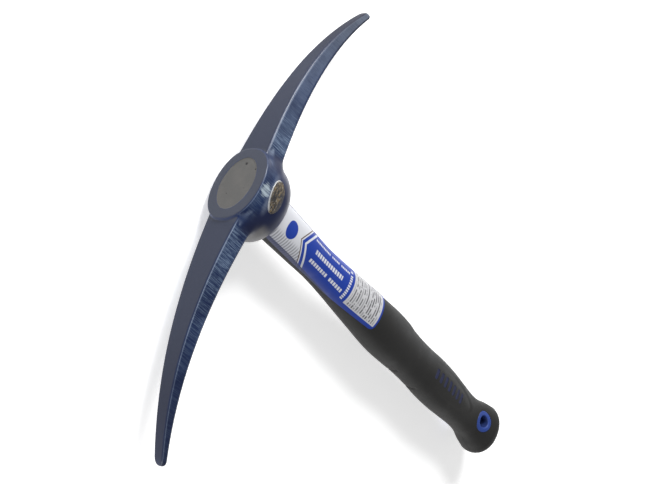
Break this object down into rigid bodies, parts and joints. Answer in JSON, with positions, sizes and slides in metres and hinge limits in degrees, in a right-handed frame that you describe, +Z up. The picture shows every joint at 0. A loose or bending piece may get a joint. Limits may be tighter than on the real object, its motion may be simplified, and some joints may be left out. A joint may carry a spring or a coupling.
{
  "type": "double point pick hammer",
  "caption": "Short-handled pick with a forged double-point head, resin-set fibreglass shaft and an overmoulded rubber grip with a hang hole.",
  "frame": {"origin": "on the ground under the middle of the tool's box, the tool lying on its side", "axes": "+X along the points, +Y down the handle from the head to the butt, +Z up, square to the side of the tool"},
  "size_m": [0.2786, 0.31, 0.0366],
  "materials": {
    "painted_steel": "satin",
    "seal_foil": "satin",
    "eye_resin": "matte",
    "dam_mastic": "matte",
    "fibreglass": "satin",
    "blue_plastic": "satin",
    "grip_rubber": "matte",
    "inlay_plastic": "matte",
    "label_film": "gloss"
  },
  "bodies": {
    "root": {"pick_head": "painted_steel", "cheek_seal": "seal_foil", "eye_resin": "eye_resin", "resin_dam": "dam_mastic", "handle_core": "fibreglass", "inner_jacket": "blue_plastic", "rubber_grip": "grip_rubber", "grip_inlay": "inlay_plastic", "product_label": "label_film"}
  },
  "joints": []
}
